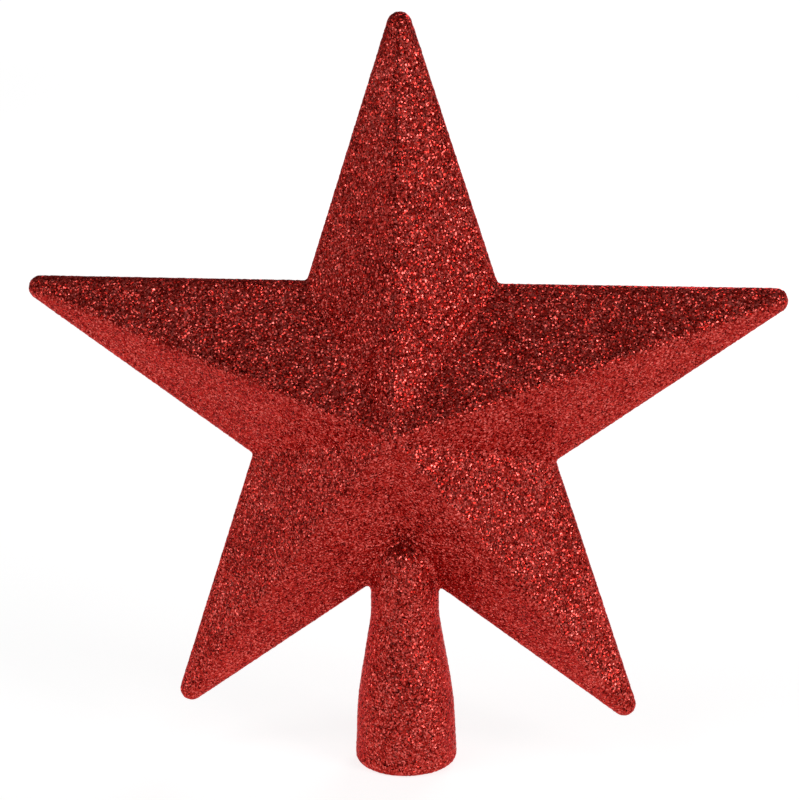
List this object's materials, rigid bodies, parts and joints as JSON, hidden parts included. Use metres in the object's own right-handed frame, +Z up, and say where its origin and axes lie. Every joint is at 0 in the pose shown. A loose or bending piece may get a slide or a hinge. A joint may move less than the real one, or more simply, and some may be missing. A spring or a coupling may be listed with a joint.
{
  "type": "christmas tree topper star",
  "caption": "Hollow faceted star tree topper covered in red glitter, on a flared neck whose open socket slips over the top shoot of a tree.",
  "frame": {"origin": "centre of the socket mouth at the bottom of the neck", "axes": "+Z up along the socket axis, +X to the right as seen from the front, the front of the star faces -Y"},
  "size_m": [0.1848, 0.05, 0.19],
  "materials": {
    "shell_plastic": "moulded red plastic, left bare inside the socket",
    "glitter": "red metallised glitter flakes in clear glue"
  },
  "bodies": {
    "root": {"front_shell": "shell_plastic", "rear_shell": "shell_plastic", "glitter_coat": "glitter"}
  },
  "joints": []
}
